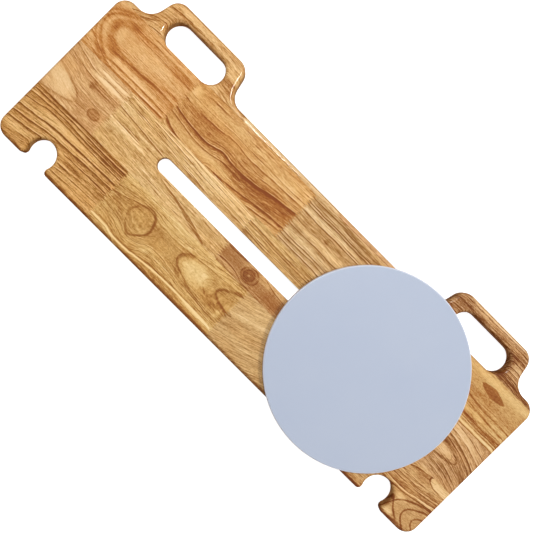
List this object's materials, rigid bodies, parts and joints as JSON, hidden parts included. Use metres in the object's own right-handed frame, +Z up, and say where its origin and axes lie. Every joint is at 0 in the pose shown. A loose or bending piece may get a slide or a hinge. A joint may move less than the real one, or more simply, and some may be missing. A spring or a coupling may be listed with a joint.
{
  "type": "transfer board",
  "caption": "Finger-jointed wooden transfer board with hand grips and keyhole notches, and a round plastic seat disc that slides along a slot and turns.",
  "frame": {"origin": "centre of the whole object's footprint at rest, on the underside of the board", "axes": "+X along the slot, towards the end where the disc rests; +Y towards the hand grips; +Z up, from the underside to the disc"},
  "size_m": [0.8, 0.3162, 0.0304],
  "materials": {
    "wood_honey": "glossy clear lacquer over honey-coloured rubberwood",
    "wood_straw": "glossy clear lacquer over straw-coloured rubberwood",
    "wood_tan": "glossy clear lacquer over tan rubberwood",
    "wood_brown": "glossy clear lacquer over brown-streaked rubberwood",
    "wood_red_brown": "glossy clear lacquer over reddish-brown rubberwood",
    "disc_plastic": "fine satin, pale lilac-blue",
    "acetal": "machined natural white",
    "ptfe": "waxy natural white",
    "bush_bronze": "turned bronze",
    "steel_plate": "brushed stainless steel",
    "fastener_steel": "bright stainless steel"
  },
  "bodies": {
    "board": {"handle_stave_1": "wood_honey", "handle_stave_2": "wood_straw", "handle_stave_3": "wood_straw", "handle_stave_4": "wood_red_brown", "upper_stave_1": "wood_honey", "upper_stave_2": "wood_tan", "upper_stave_3": "wood_tan", "upper_stave_4": "wood_tan", "slot_stave_1": "wood_honey", "slot_stave_2": "wood_straw", "slot_stave_3_notch_side": "wood_brown", "slot_stave_3_grip_side": "wood_straw", "slot_stave_4": "wood_brown", "lower_stave_1": "wood_brown", "lower_stave_2": "wood_tan", "lower_stave_3": "wood_tan", "lower_stave_4": "wood_brown"},
    "carriage": {"slide_block": "acetal", "pivot_bush": "bush_bronze", "thrust_washer": "ptfe", "retaining_plate": "steel_plate", "plate_screw_1": "fastener_steel", "plate_screw_2": "fastener_steel"},
    "turntable": {"seat_disc": "disc_plastic", "glide_ring": "ptfe", "hub_flange": "steel_plate", "disc_screw_1": "fastener_steel", "disc_screw_2": "fastener_steel", "disc_screw_3": "fastener_steel", "disc_screw_4": "fastener_steel", "pivot_bolt": "fastener_steel", "lower_washer": "fastener_steel", "lock_nut": "fastener_steel"}
  },
  "joints": [
    {"name": "disc_slide", "type": "slide", "parent": "board", "child": "carriage", "axis": [1, 0, 0], "range_m": [-0.3841, 0]},
    {"name": "disc_turn", "type": "hinge", "parent": "carriage", "child": "turntable", "pos_m": [0.19205, -0.01613, 0.0214], "axis": [0, 0, 1], "continuous": true}
  ]
}
